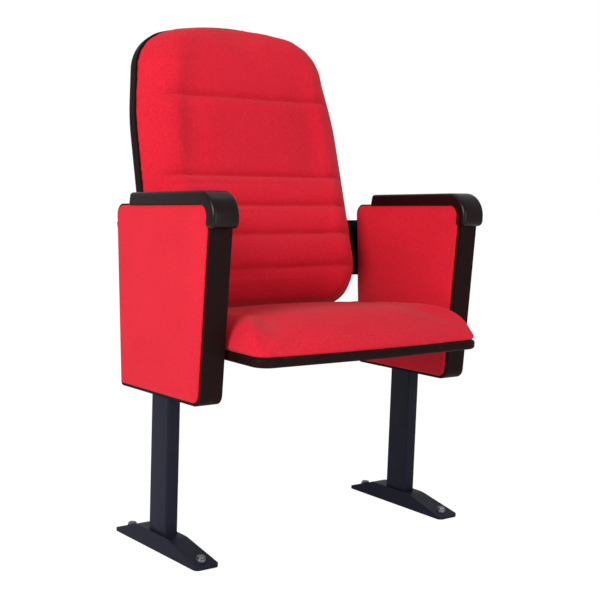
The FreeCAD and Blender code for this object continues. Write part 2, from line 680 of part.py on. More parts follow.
def make_seat_hinge():
    """Steel hinge: screw flange under the board, side plate, pivot boss and its stop dog."""
    flange_z = RIM_TOP - 4.0
    plate = slab(
        [(-44.0, RIM_TOP), (-12.0, 364.0), (8.0, 364.0), (40.0, RIM_TOP)],
        [1.0, 6.0, 6.0, 1.0], HINGE_PLATE_X[0], HINGE_PLATE_X[1], PLANE_YZ,
    )
    flange = slab(
        [(188.0, -72.0), (HINGE_PLATE_X[1], -72.0), (HINGE_PLATE_X[1], 68.0), (188.0, 68.0)],
        [12.0, 4.0, 4.0, 12.0], flange_z, RIM_TOP,
    )
    boss = pivot_rod(BOSS_RADIUS, BOSS_INNER_X, HINGE_PLATE_X[1])
    dog = ring_sector(DOG_INNER, DOG_OUTER, DOG_START, DOG_SWEEP, COLLAR_X[0] + 0.3, BOSS_INNER_X)
    hinge = plate.fuse([flange, boss, dog])
    hinge = hinge.cut(pivot_rod(BUSH_RADIUS, BOSS_INNER_X, HINGE_PLATE_X[1] + 1))
    return hinge.removeSplitter()


def make_hinge_screws():
    """Screws through each hinge flange into the seat board."""
    screws = []
    for x in (200.0, 236.0):
        for y in (-58.0, 54.0):
            head = rod(5.0, (x, y, RIM_TOP - 7.0), Z_AXIS, 3.0)
            screws.append(head.fuse(rod(2.5, (x, y, RIM_TOP - 7.0), Z_AXIS, 17.0)).removeSplitter())
    return Part.makeCompound(screws)


def make_stop_collar():
    """Collar fixed on the pin: the dog of the hinge swings between the ends of its notch."""
    collar = pivot_rod(COLLAR_RADIUS, *COLLAR_X).cut(pivot_rod(PIN_RADIUS, *COLLAR_X))
    start = DOG_START - SEAT_TRAVEL - STOP_GAP
    sweep = SEAT_TRAVEL + DOG_SWEEP + 2 * STOP_GAP
    notch = ring_sector(DOG_INNER - 0.2, COLLAR_RADIUS + 1, start, sweep, COLLAR_X[0] - 1, COLLAR_X[1] + 1)
    return collar.cut(notch)


def make_pivot_fixings():
    """Washer and screw that close the inner end of the pin."""
    washer = pivot_rod(11.0, PIN_END_X - 2.5, PIN_END_X)
    head = pivot_rod(6.5, PIN_END_X - 7.5, PIN_END_X - 2.5)
    return Part.makeCompound([washer, head])


def make_return_spring():
    """Torsion spring round the pin, drawn as its closed coil body."""
    coil = pivot_rod(11.2, *SPRING_X)
    return coil.cut(pivot_rod(8.4, *SPRING_X))


def build():
    """Every node of the chair by name."""
    nodes = {}
    pin = make_pivot_pin()
    pivot_bore = pivot_rod(8.0, 200, LEG_X + BOARD_INNER + 0.1)
    pegs = make_pegs()
    upright_screws = make_upright_screws()
    cap_screws = make_cap_screws()
    wing = make_back_bracket()
    wing_bolts = make_back_bracket_bolts()
    wing_slot = box(LEG_X + WEB_HALF, LEG_X + WEB_HALF + 5.3, 41.4, 230.0, 470.0, 574.0)
    frame_cuts = Part.makeCompound(
        list(pegs.Solids) + list(upright_screws.Solids) + list(cap_screws.Solids)
        + list(wing_bolts.Solids) + [wing_slot]
    )
    outer_board = make_board(1, pegs)
    inner_board = make_board(-1, Part.makeCompound(list(pegs.Solids) + [pivot_bore]))
    right = {
        "foot": make_foot(),
        "leg": make_leg(Part.makeCompound([pin] + list(upright_screws.Solids))),
        "arm_frame": make_arm_frame(frame_cuts),
        "outer_board": outer_board,
        "outer_pad": make_pad(1, outer_board, pegs),
        "inner_board": inner_board,
        "inner_pad": make_pad(-1, inner_board, Part.makeCompound(list(pegs.Solids) + [pivot_bore])),
        "arm_cap": make_arm_cap(cap_screws),
        "back_bracket": wing.cut(wing_bolts),
        "pivot_pin": pin,
        "pivot_spacer": make_pivot_spacer(),
        "stop_collar": make_stop_collar(),
        "return_spring": make_return_spring(),
        "seat_hinge": make_seat_hinge().cut(make_hinge_screws()),
        "hinge_bush": make_hinge_bush(),
    }
    for name, shape in right.items():
        nodes[name + "_right"] = shape
        nodes[name + "_left"] = mirrored(shape)
    nodes["board_pegs"] = both_sides(pegs)
    nodes["upright_screws"] = both_sides(upright_screws)
    nodes["cap_screws"] = both_sides(cap_screws)
    nodes["bracket_bolts"] = both_sides(wing_bolts)
    nodes["pivot_fixings"] = both_sides(make_pivot_fixings())
    nodes["hinge_screws"] = both_sides(make_hinge_screws())

    back_screws = make_back_screws()
    board_holes = Part.makeCompound(list(back_screws.Solids) + list(nodes["bracket_bolts"].Solids))
    nodes["back_shell"] = make_back_shell(wing, back_screws)
    nodes["back_board"] = make_back_board(board_holes)
    nodes["back_screws"] = back_screws
    nodes["back_cushion"] = make_back_cushion()

    seat_screws = make_seat_screws()
    seat_holes = Part.makeCompound(list(seat_screws.Solids) + list(nodes["hinge_screws"].Solids))
    board = make_seat_board(seat_holes)
    nodes["seat_pan"] = make_seat_pan(seat_screws)
    nodes["seat_board"] = board
    nodes["seat_cushion"] = make_seat_cushion(seat_slab(13.0, RIM_TOP, RIM_TOP + 0.2 + SEAT_BOARD))
    nodes["seat_screws"] = seat_screws
    return nodes


def main():
    os.makedirs("parts", exist_ok=True)
    for name, shape in build().items():
        shape.exportStep("parts/" + name + ".step")
        print(name, len(shape.Solids), round(shape.Volume / 1000, 1), "cm3", shape.isValid())


main()
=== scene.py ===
"""Looks of a tip-up auditorium seat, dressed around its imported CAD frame, in metres."""

from __future__ import annotations

import logging
import math
from collections.abc import Callable
from dataclasses import dataclass, field
from enum import Enum
from functools import cache

import bmesh
import bpy
from mathutils import Matrix, Vector, noise
from mathutils.geometry import intersect_point_line


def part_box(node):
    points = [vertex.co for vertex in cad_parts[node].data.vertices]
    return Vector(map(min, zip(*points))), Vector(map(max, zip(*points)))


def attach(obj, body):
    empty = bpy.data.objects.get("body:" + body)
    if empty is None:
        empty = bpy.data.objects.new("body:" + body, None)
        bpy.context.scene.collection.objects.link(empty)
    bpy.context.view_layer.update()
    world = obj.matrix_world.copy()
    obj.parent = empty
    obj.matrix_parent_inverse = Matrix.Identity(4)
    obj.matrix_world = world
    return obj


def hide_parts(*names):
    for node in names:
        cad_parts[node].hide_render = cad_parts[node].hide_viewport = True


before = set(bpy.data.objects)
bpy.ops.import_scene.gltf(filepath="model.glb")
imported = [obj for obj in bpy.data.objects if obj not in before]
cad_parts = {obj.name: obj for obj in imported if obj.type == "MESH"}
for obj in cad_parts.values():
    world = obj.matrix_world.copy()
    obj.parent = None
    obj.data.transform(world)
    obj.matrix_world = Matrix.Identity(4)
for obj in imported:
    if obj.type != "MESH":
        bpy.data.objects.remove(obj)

log = logging.getLogger("auditorium_seat")

Colour = tuple[float, float, float]
Place = tuple[float, float, float]

# What the CAD model gives: the back's lean from upright, and places in metres
RECLINE = math.radians(15.6)
BACK_SEAM = Vector((0.0, 0.142, 0.5))
LEG_X = 0.290
FLOOR_BOLT_Y = 0.117
SIDES = ("left", "right")

# Edges bent more than this show sharp
SHARP_EDGE = math.radians(32.0)
# Points nearer to each other than this are one point, in metres
SAME_POINT = 0.00002
# Points nearer to a flat face than this lie on it, in metres
ON_FACE = 0.0001


class Body(Enum):
    """Bodies of the frame that a piece can ride on."""

    STAND = "stand"
    SEAT = "seat"


class Slot(Enum):
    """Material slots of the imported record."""

    CLOTH = "red_fabric"
    ZINC = "zinc_steel"


def smoothstep(low: float, high: float, value: float) -> float:
    """Soft step from 0 at low to 1 at high.

    Args:
        low: Where the step starts.
        high: Where it ends.
        value: The place along it.

    Returns:
        A share from 0 to 1.
    """
    share = min(1.0, max(0.0, (value - low) / (high - low)))
    return share * share * (3.0 - 2.0 * share)


def nearest_on_run(place: Vector, start: Vector, end: Vector) -> Vector:
    """The point of a run that is nearest to a place.

    Args:
        place: The place.
        start: One end of the run.
        end: Its other end.

    Returns:
        The nearest point.
    """
    nearest, share = intersect_point_line(place, start, end)
    if share <= 0.0:
        return start
    return end if share >= 1.0 else nearest


class Shader:
    """A node tree that is filled by short calls."""

    def __init__(self, tree: bpy.types.NodeTree) -> None:
        """Starts from an empty tree.

        Args:
            tree: The tree of a material, a world or a node group.
        """
        self.tree = tree
        tree.nodes.clear()

    def add(self, kind: str, inputs: dict | None = None, **settings: object) -> bpy.types.Node:
        """Adds a node.

        Args:
            kind: Blender's name of the node type.
            inputs: Values or sockets for its inputs, by name or number.
            settings: Properties of the node itself.

        Returns:
            The new node.
        """
        node = self.tree.nodes.new(kind)
        for name, value in settings.items():
            setattr(node, name, value)
        for name, value in (inputs or {}).items():
            if isinstance(value, bpy.types.NodeSocket):
                self.tree.links.new(value, node.inputs[name])
            else:
                node.inputs[name].default_value = value
        return node

    def math(self, operation: str, *values: object) -> bpy.types.NodeSocket:
        """Adds a Math node.

        Args:
            operation: The sum that it does.
            values: Numbers or sockets that it works on.

        Returns:
            Its result.
        """
        return self.add("ShaderNodeMath", dict(enumerate(values)), operation=operation).outputs[0]

    def blend(self, share: object, first: object, second: object) -> bpy.types.NodeSocket:
        """Mixes two colours.

        Args:
            share: How much of the second, as a number or socket.
            first: Colour or socket.
            second: Colour or socket.

        Returns:
            The mixed colour.
        """
        colours = {
            number: (*colour, 1.0) if isinstance(colour, tuple) else colour
            for number, colour in ((6, first), (7, second))
        }
        return self.add("ShaderNodeMix", {0: share, **colours}, data_type="RGBA").outputs[2]

    def ramp(self, value: bpy.types.NodeSocket, low: float, high: float) -> bpy.types.NodeSocket:
        """Stretches a value so that low becomes 0 and high becomes 1.

        Args:
            value: The socket to stretch.
            low: Value that becomes 0.
            high: Value that becomes 1.

        Returns:
            The stretched value, kept between 0 and 1.
        """
        node = self.add("ShaderNodeMapRange", {"Value": value, "From Min": low, "From Max": high})
        return node.outputs["Result"]

    def spread(self, value: bpy.types.NodeSocket, low: float, high: float) -> bpy.types.NodeSocket:
        """Spreads a value so that 0 becomes low and 1 becomes high.

        Args:
            value: The socket to spread.
            low: What 0 becomes.
            high: What 1 becomes.

        Returns:
            The spread value, kept between low and high.
        """
        node = self.add("ShaderNodeMapRange", {"Value": value, "To Min": low, "To Max": high})
        return node.outputs["Result"]

    def weighted(self, *terms: tuple[bpy.types.NodeSocket, float]) -> bpy.types.NodeSocket:
        """Adds values up, each times its own weight.

        Args:
            terms: Sockets with their weights.

        Returns:
            The sum.
        """
        total, *others = [self.math("MULTIPLY", value, weight) for value, weight in terms]
        for other in others:
            total = self.math("ADD", total, other)
        return total


class SharedEffects:
    """Node groups that several finishes use, each built once."""

    WOBBLE_SCALE = 90.0
    WOBBLE = (0.0012, 0.0012, 0.0012)
    FIBRE_SCALE = 900.0
    CLOUD_RANGE = (0.3, 0.7)
    CLOUD_DETAIL = {"Patch": 3.0, "Speckle": 4.0}
    DUST_SCALE = 35.0
    DUST_RANGE = (0.35, 0.75)
    DUST_FACING = (0.35, 0.95)

    @staticmethod
    def _group(
        name: str, inputs: dict[str, float], outputs: tuple[str, ...]
    ) -> tuple[Shader, bpy.types.Node]:
        """Starts a group with a Vector input, number inputs and number outputs.

        Args:
            name: Name of the group.
            inputs: Number inputs with their defaults.
            outputs: Names of the number outputs.

        Returns:
            The group's shader and its input node.
        """
        tree = bpy.data.node_groups.new(name, "ShaderNodeTree")
        shader = Shader(tree)
        tree.interface.new_socket("Vector", in_out="INPUT", socket_type="NodeSocketVector")
        for label, value in inputs.items():
            socket = tree.interface.new_socket(label, in_out="INPUT", socket_type="NodeSocketFloat")
            socket.default_value = value
        for label in outputs:
            tree.interface.new_socket(label, in_out="OUTPUT", socket_type="NodeSocketFloat")
        return shader, shader.add("NodeGroupInput")

    @classmethod
    @cache
    def weave(cls) -> bpy.types.NodeTree:
        """Crossing threads that look alike on faces of any direction, with loose fibres.

        Returns:
            A group with Height and Thread outputs.
        """
        shader, given = cls._group(
            "crossing_threads", {"Pitch": 0.0012, "Fibre": 0.35}, ("Height", "Thread")
        )
        turns = shader.math("DIVIDE", math.tau, given.outputs["Pitch"])
        wobble = shader.add(
            "ShaderNodeTexNoise",
            {"Vector": given.outputs["Vector"], "Scale": cls.WOBBLE_SCALE, "Detail": 2.0},
        )
        shifted = shader.add(
            "ShaderNodeVectorMath",
            {0: wobble.outputs["Color"], 1: cls.WOBBLE, 2: given.outputs["Vector"]},
            operation="MULTIPLY_ADD",
        )
        scaled = shader.add(
            "ShaderNodeVectorMath", {0: shifted.outputs[0], "Scale": turns}, operation="SCALE"
        )
        waves = shader.add("ShaderNodeVectorMath", {0: scaled.outputs[0]}, operation="SINE")
        split = shader.add("ShaderNodeSeparateXYZ", {0: waves.outputs[0]})
        x, y, z = split.outputs
        crossing = shader.math(
            "ADD",
            shader.math("MULTIPLY", x, y),
            shader.math("ADD", shader.math("MULTIPLY", y, z), shader.math("MULTIPLY", z, x)),
        )
        fibre = shader.add(
            "ShaderNodeTexNoise",
            {"Vector": given.outputs["Vector"], "Scale": cls.FIBRE_SCALE, "Detail": 3.0},
        )
        height = shader.math(
            "ADD", crossing, shader.math("MULTIPLY", fibre.outputs["Fac"], given.outputs["Fibre"])
        )
        thread = shader.ramp(crossing, -1.0, 1.0)
        shader.add("NodeGroupOutput", {"Height": height, "Thread": thread})
        return shader.tree

    @classmethod
    @cache
    def mottle(cls) -> bpy.types.NodeTree:
        """Slow uneven patches with a finer speckle, for colour and gloss that aren't quite even.

        Returns:
            A group with Patch and Speckle outputs.
        """
        shader, given = cls._group(
            "uneven_patches", {"Patch Scale": 14.0, "Speckle Scale": 260.0}, ("Patch", "Speckle")
        )
        results = {}
        for label, detail in cls.CLOUD_DETAIL.items():
            cloud = shader.add(
                "ShaderNodeTexNoise",
                {
                    "Vector": given.outputs["Vector"],
                    "Scale": given.outputs[label + " Scale"],
                    "Detail": detail,
                    "Roughness": 0.6,
                },
            )
            results[label] = shader.ramp(cloud.outputs["Fac"], *cls.CLOUD_RANGE)
        shader.add("NodeGroupOutput", results)
        return shader.tree

    @classmethod
    @cache
    def dust(cls) -> bpy.types.NodeTree:
        """Dust that lies on faces that look upward, thin and patchy.

        Returns:
            A group with a Mask output, fed by a surface direction as its Facing input.
        """
        shader, given = cls._group("settled_dust", {"Facing": 0.0, "Amount": 0.2}, ("Mask",))
        patches = shader.add(
            "ShaderNodeTexNoise",
            {"Vector": given.outputs["Vector"], "Scale": cls.DUST_SCALE, "Detail": 6.0},
        )
        lying = shader.ramp(given.outputs["Facing"], *cls.DUST_FACING)
        thin = shader.math("MULTIPLY", lying, shader.ramp(patches.outputs["Fac"], *cls.DUST_RANGE))
        mask = shader.math("MULTIPLY", thin, given.outputs["Amount"])
        shader.add("NodeGroupOutput", {"Mask": mask})
        return shader.tree


class Dresser:
    """Common steps of every finish."""

    def __init__(self, name: str) -> None:
        """Starts an empty material.

        Args:
            name: Name of the material.
        """
        self.material = bpy.data.materials.new(name)
        self.material.use_nodes = True
        self.shader = Shader(self.material.node_tree)
        self.place = self.shader.add("ShaderNodeTexCoord").outputs["Object"]

    def effect(self, tree: bpy.types.NodeTree, **inputs: object) -> bpy.types.Node:
        """Places a shared effect on the surface.

        Args:
            tree: The effect's node group.
            inputs: Its values, with _ for a space in a name.

        Returns:
            The group node.
        """
        values = {name.replace("_", " "): value for name, value in inputs.items()}
        return self.shader.add(
            "ShaderNodeGroup", {"Vector": self.place, **values}, node_tree=tree
        )

    def facing_up(self) -> bpy.types.NodeSocket:
        """Finds the upward part of the surface's direction.

        Returns:
            A value that is 1 where the surface looks straight up.
        """
        normal = self.shader.add("ShaderNodeNewGeometry").outputs["Normal"]
        return self.shader.add("ShaderNodeSeparateXYZ", {0: normal}).outputs[2]

    def bump(
        self, height: bpy.types.NodeSocket, strength: float, distance: float
    ) -> bpy.types.NodeSocket:
        """Raises the surface by a height.

        Args:
            height: The height socket.
            strength: Share of the effect.
            distance: Real height of 1, in metres.

        Returns:
            The changed normal.
        """
        node = self.shader.add(
            "ShaderNodeBump", {"Height": height, "Strength": strength, "Distance": distance}
        )
        return node.outputs["Normal"]

    def finish(self, **inputs: object) -> bpy.types.Material:
        """Ends the material in a Principled shader.

        Args:
            inputs: Its inputs, with _ for a space in a name.

        Returns:
            The finished material.
        """
        values = {}
        for name, value in inputs.items():
            is_colour = isinstance(value, tuple) and len(value) == 3
            values[name.replace("_", " ")] = (*value, 1.0) if is_colour else value
        surface = self.shader.add("ShaderNodeBsdfPrincipled", values)
        self.shader.add("ShaderNodeOutputMaterial", {"Surface": surface.outputs[0]})
        return self.material


@dataclass(frozen=True)
class WoolCloth:
    """Fine matte upholstery cloth with short loose fibres."""

    name: str
    colour: Colour
    deep: Colour
    turned: float = 0.0
    pitch: float = 0.0013
    thread_height: float = 0.00025
    patch_scale: float = 9.0
    speckle_scale: float = 260.0
    thread_share: float = 0.25
    speckle_share: float = 0.55
    patch_share: float = 0.2
    roughness: float = 0.9
    specular: float = 0.22
    sheen: float = 0.09
    sheen_tint: Colour = (1.0, 0.55, 0.55)

    def make(self) -> bpy.types.Material:
        """Builds the material.

        Returns:
            The cloth.
        """
        dresser = Dresser(self.name)
        shader = dresser.shader
        mapping = shader.add(
            "ShaderNodeMapping", {"Vector": dresser.place, "Rotation": (self.turned, 0.0, 0.0)}
        )
        dresser.place = mapping.outputs["Vector"]
        weave = dresser.effect(SharedEffects.weave(), Pitch=self.pitch)
        uneven = dresser.effect(
            SharedEffects.mottle(), Patch_Scale=self.patch_scale, Speckle_Scale=self.speckle_scale
        )
        share = shader.weighted(
            (weave.outputs["Thread"], self.thread_share),
            (uneven.outputs["Speckle"], self.speckle_share),
            (uneven.outputs["Patch"], self.patch_share),
        )
        return dresser.finish(
            Base_Color=shader.blend(share, self.deep, self.colour),
            Roughness=self.roughness,
            Specular_IOR_Level=self.specular,
            Sheen_Weight=self.sheen,
            Sheen_Roughness=0.5,
            Sheen_Tint=self.sheen_tint,
            Normal=dresser.bump(weave.outputs["Height"], 0.35, self.thread_height),
        )


@dataclass(frozen=True)
class BlackCoating:
    """Dark plastic or powder paint: fine grain, uneven gloss and a little dust."""

    name: str
    colour: Colour
    worn: Colour
    roughness: float
    specular: float
    grain_scale: float
    grain_height: float
    dust: float = 0.05
    dust_colour: Colour = (0.20, 0.19, 0.19)
    patch_scale: float = 18.0
    patch_share: float = 0.45
    grain_share: float = 0.2
    gloss_range: tuple[float, float] = (0.9, 1.12)

    def make(self) -> bpy.types.Material:
        """Builds the material.

        Returns:
            The plastic or paint.
        """
        dresser = Dresser(self.name)
        shader = dresser.shader
        uneven = dresser.effect(
            SharedEffects.mottle(), Patch_Scale=self.patch_scale, Speckle_Scale=self.grain_scale
        )
        dust = dresser.effect(SharedEffects.dust(), Facing=dresser.facing_up(), Amount=self.dust)
        share = shader.weighted(
            (uneven.outputs["Patch"], self.patch_share),
            (uneven.outputs["Speckle"], self.grain_share),
        )
        clean = shader.blend(share, self.colour, self.worn)
        smooth, dull = (self.roughness * part for part in self.gloss_range)
        return dresser.finish(
            Base_Color=shader.blend(dust.outputs["Mask"], clean, self.dust_colour),
            Roughness=shader.spread(uneven.outputs["Patch"], smooth, dull),
            Specular_IOR_Level=self.specular,
            Normal=dresser.bump(uneven.outputs["Speckle"], 0.5, self.grain_height),
        )


@dataclass(frozen=True)
class PlatedSteel:
    """Zinc-plated or oiled spring steel with fine drawn lines."""

    name: str
    colour: Colour
    roughness: float
    darkest: float = 0.62
    patch_scale: float = 60.0
    line_scale: float = 900.0
    line_height: float = 0.00005
    gloss_range: tuple[float, float] = (0.8, 1.3)

    def make(self) -> bpy.types.Material:
        """Builds the material.

        Returns:
            The metal.
        """
        dresser = Dresser(self.name)
        shader = dresser.shader
        uneven = dresser.effect(
            SharedEffects.mottle(), Patch_Scale=self.patch_scale, Speckle_Scale=self.line_scale
        )
        dark = tuple(self.darkest * part for part in self.colour)
        smooth, dull = (self.roughness * part for part in self.gloss_range)
        return dresser.finish(
            Base_Color=shader.blend(uneven.outputs["Patch"], self.colour, dark),
            Metallic=1.0,
            Roughness=shader.spread(uneven.outputs["Speckle"], smooth, dull),
            Normal=dresser.bump(uneven.outputs["Speckle"], 0.3, self.line_height),
        )


@dataclass(frozen=True)
class BareWood:
    """Birch plywood with long streaks of grain."""

    name: str
    colour: Colour
    streak: Colour
    stretch: Place = (14.0, 120.0, 9.0)
    streak_range: tuple[float, float] = (0.35, 0.65)
    streak_height: float = 0.0002
    roughness: float = 0.62

    def make(self) -> bpy.types.Material:
        """Builds the material.

        Returns:
            The wood.
        """
        dresser = Dresser(self.name)
        shader = dresser.shader
        stretched = shader.add(
            "ShaderNodeMapping", {"Vector": dresser.place, "Scale": self.stretch}
        )
        grain = shader.add(
            "ShaderNodeTexNoise",
            {"Vector": stretched.outputs["Vector"], "Scale": 1.0, "Detail": 6.0},
        )
        streaks = shader.ramp(grain.outputs["Fac"], *self.streak_range)
        return dresser.finish(
            Base_Color=shader.blend(streaks, self.colour, self.streak),
            Roughness=self.roughness,
            Normal=dresser.bump(streaks, 0.3, self.streak_height),
        )


@dataclass(frozen=True)
class Finishes:
    """Every finish of the chair, made once."""

    cloth: bpy.types.Material
    back_cloth: bpy.types.Material
    paint: bpy.types.Material
    plastic: bpy.types.Material
    cap: bpy.types.Material
    plywood: bpy.types.Material
    zinc: bpy.types.Material
    spring: bpy.types.Material
    nylon: bpy.types.Material

    @classmethod
    def make(cls) -> Finishes:
        """Builds all the materials.

        Returns:
            The set of finishes.
        """
        red: Colour = (0.71, 0.013, 0.034)
        deep_red: Colour = (0.49, 0.002, 0.015)
        return cls(
            cloth=WoolCloth("red_wool_cloth", red, deep_red).make(),
            back_cloth=WoolCloth("red_wool_cloth_back", red, deep_red, turned=RECLINE).make(),
            paint=BlackCoating(
                "satin_black_paint",
                colour=(0.005, 0.0055, 0.014),
                worn=(0.010, 0.011, 0.024),
                roughness=0.42,
                specular=0.13,
                grain_scale=420.0,
                grain_height=0.00012,
            ).make(),
            plastic=BlackCoating(
                "moulded_black_plastic",
                colour=(0.0085, 0.0018, 0.0018),
                worn=(0.014, 0.0040, 0.0045),
                roughness=0.48,
                specular=0.07,
                grain_scale=700.0,
                grain_height=0.00010,
            ).make(),
            cap=BlackCoating(
                "smooth_black_cap",
                colour=(0.006, 0.002, 0.0025),
                worn=(0.010, 0.004, 0.005),
                roughness=0.26,
                specular=0.2,
                grain_scale=800.0,
                grain_height=0.00006,
            ).make(),
            plywood=BareWood("birch_plywood", (0.72, 0.55, 0.36), (0.55, 0.38, 0.22)).make(),
            zinc=PlatedSteel("zinc_plated_steel", (0.24, 0.245, 0.26), 0.34).make(),
            spring=PlatedSteel("oiled_spring_steel", (0.30, 0.30, 0.31), 0.38).make(),
            nylon=BlackCoating(
                "natural_nylon",
                colour=(0.72, 0.70, 0.64),
                worn=(0.64, 0.62, 0.57),
                roughness=0.5,
                specular=0.5,
                grain_scale=500.0,
                grain_height=0.00005,
                dust=0.0,
            ).make(),
        )


@dataclass(frozen=True)
class Foam:
    """How a cushion is blown up on its flat base, with heights above that base in metres."""

    net: float
    base: tuple[float, float]
    held_below: float
    first_relax: int
    pressure: float
    most_move: float
    face: tuple[float, float]
    last_relax: int


class Workshop:
    """Mesh steps that several sub-assemblies share."""

    CLOTH_QUALITY = 4
    CLOTH_MASS = 0.3
    CLOTH_FRAMES = 20

    @staticmethod
    def smooth(mesh: bpy.types.Mesh) -> None:
        """Shades a mesh smooth.

        Args:
            mesh: The mesh.
        """
        mesh.polygons.foreach_set("use_smooth", [True] * len(mesh.polygons))

    @staticmethod
    def sharpen(piece: bpy.types.Object) -> None:
        """Keeps a piece's bent edges sharp in its smooth shading.

        Args:
            piece: The piece.
        """
        split = piece.modifiers.new("sharp_edges", "EDGE_SPLIT")
        split.split_angle = SHARP_EDGE

    @classmethod
    def dress_node(cls, name: str, material: bpy.types.Material) -> None:
        """Gives a CAD node its finish and smooth shading between its sharp edges.

        Args:
            name: Name of the CAD node.
            material: Its finish.
        """
        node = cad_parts[name]
        node.data.materials.clear()
        node.data.materials.append(material)
        node.data.polygons.foreach_set("material_index", [0] * len(node.data.polygons))
        cls.smooth(node.data)
        weld = node.modifiers.new("weld", "WELD")
        weld.merge_threshold = SAME_POINT
        cls.sharpen(node)

    @staticmethod
    def copy_of_nodes(*nodes: str) -> bmesh.types.BMesh:
        """A merged copy of the meshes of one or more CAD nodes.

        Args:
            nodes: Names of the CAD nodes.

        Returns:
            A bmesh with outward faces.
        """
        shape = bmesh.new()
        for node in nodes:
            part = bmesh.new()
            part.from_mesh(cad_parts[node].data)
            bmesh.ops.remove_doubles(part, verts=part.verts, dist=SAME_POINT)
            bmesh.ops.recalc_face_normals(part, faces=part.faces)
            merged = bpy.data.meshes.new("merged")
            part.to_mesh(merged)
            part.free()
            shape.from_mesh(merged)
            bpy.data.meshes.remove(merged)
        return shape

    @classmethod
    def to_object(
        cls, shape: bmesh.types.BMesh, name: str, material: bpy.types.Material
    ) -> bpy.types.Object:
        """Makes an object of a bmesh, at the origin and shaded smooth.

        Args:
            shape: The bmesh, which is freed.
            name: Name of the piece.
            material: Its finish.

        Returns:
            The new object.
        """
        mesh = bpy.data.meshes.new(name)
        shape.to_mesh(mesh)
        shape.free()
        mesh.materials.append(material)
        cls.smooth(mesh)
        made = bpy.data.objects.new(name, mesh)
        bpy.context.scene.collection.objects.link(made)
        return made

    @classmethod
    def settle(cls, piece: bpy.types.Object) -> None:
        """Turns a piece's modifiers into its mesh.

        Args:
            piece: The piece.
        """
        graph = bpy.context.evaluated_depsgraph_get()
        settled = bpy.data.meshes.new_from_object(piece.evaluated_get(graph))
        piece.modifiers.clear()
        old = piece.data
        piece.data = settled
        bpy.data.meshes.remove(old)
        cls.smooth(settled)

    @classmethod
    def remesh(cls, piece: bpy.types.Object, size: float) -> None:
        """Gives a piece an even net of faces that still lies on its own surface.

        Args:
            piece: The piece.
            size: Length of a face's side, in metres.
        """
        form = bpy.data.objects.new("form", piece.data.copy())
        bpy.context.scene.collection.objects.link(form)
        even = piece.modifiers.new("even", "REMESH")
        even.mode = "VOXEL"
        even.voxel_size = size
        even.adaptivity = 0.0
        wrap = piece.modifiers.new("wrap", "SHRINKWRAP")
        wrap.target = form
        wrap.wrap_method = "NEAREST_SURFACEPOINT"
        cls.settle(piece)
        spare = form.data
        bpy.data.objects.remove(form)
        bpy.data.meshes.remove(spare)

    @classmethod
    def relax(
        cls, piece: bpy.types.Object, times: int, weight: Callable[[Vector, Vector], float]
    ) -> None:
        """Smooths a piece, more in some places than in others.

        Args:
            piece: The piece.
            times: How often.
            weight: How much of the smoothing a point takes, from its place and its direction.
        """
        free = piece.vertex_groups.new(name="free")
        for vertex in piece.data.vertices:
            free.add([vertex.index], weight(vertex.co, vertex.normal), "REPLACE")
        calm = piece.modifiers.new("calm", "SMOOTH")
        calm.factor = 0.5
        calm.iterations = times
        calm.vertex_group = "free"
        cls.settle(piece)
        piece.vertex_groups.clear()

    @classmethod
    def inflate(
        cls,
        piece: bpy.types.Object,
        held: Callable[[Vector], bool],
        pressure: float,
        most_move: float,
    ) -> None:
        """Blows a closed cover up by cloth simulation, with its hidden side held.

        Args:
            piece: The closed cover.
            held: Says whether a point stays where it is.
            pressure: Air pressure inside.
            most_move: The length that no point's move exceeds, in metres.
        """
        start = [vertex.co.copy() for vertex in piece.data.vertices]
        fixed = piece.vertex_groups.new(name="fixed")
        fixed.add([i for i, place in enumerate(start) if held(place)], 1.0, "REPLACE")
        cloth = piece.modifiers.new("puff", "CLOTH")
        cloth.settings.quality = cls.CLOTH_QUALITY
        cloth.settings.mass = cls.CLOTH_MASS
        cloth.settings.use_pressure = True
        cloth.settings.uniform_pressure_force = pressure
        cloth.settings.effector_weights.gravity = 0.0
        cloth.settings.vertex_group_mass = "fixed"
        cloth.point_cache.frame_start = 1
        cloth.point_cache.frame_end = cls.CLOTH_FRAMES
        for number in range(1, cls.CLOTH_FRAMES + 1):
            bpy.context.scene.frame_set(number)
        cls.settle(piece)
        bpy.context.scene.frame_set(1)
        for vertex, place in zip(piece.data.vertices, start):
            move = vertex.co - place
            if move.length > 0.0:
                share = math.tanh(move.length / most_move)
                vertex.co = place + move.normalized() * most_move * share
        piece.vertex_groups.clear()

    @classmethod
    def blow_up(
        cls,
        piece: bpy.types.Object,
        foam: Foam,
        height: Callable[[Vector], float],
        upward: Vector,
    ) -> None:
        """Turns the plain form of a cushion into a stuffed one.

        Args:
            piece: The cushion, as its plain closed form.
            foam: How it is blown up.
            height: Gives a point's height above the cushion's base.
            upward: The direction that the cushion's face looks in.
        """
        cls.remesh(piece, foam.net)
        cls.relax(
            piece, foam.first_relax, lambda place, _: smoothstep(*foam.base, height(place))
        )
        cls.inflate(
            piece, lambda place: height(place) < foam.held_below, foam.pressure, foam.most_move
        )
        cls.relax(
            piece, foam.last_relax, lambda _, facing: smoothstep(*foam.face, facing.dot(upward))
        )

    @classmethod
    def refine(cls, piece: bpy.types.Object) -> None:
        """Halves the faces of a piece, rounding it.

        Args:
            piece: The piece.
        """
        finer = piece.modifiers.new("finer", "SUBSURF")
        finer.levels = 1
        finer.render_levels = 1
        cls.settle(piece)


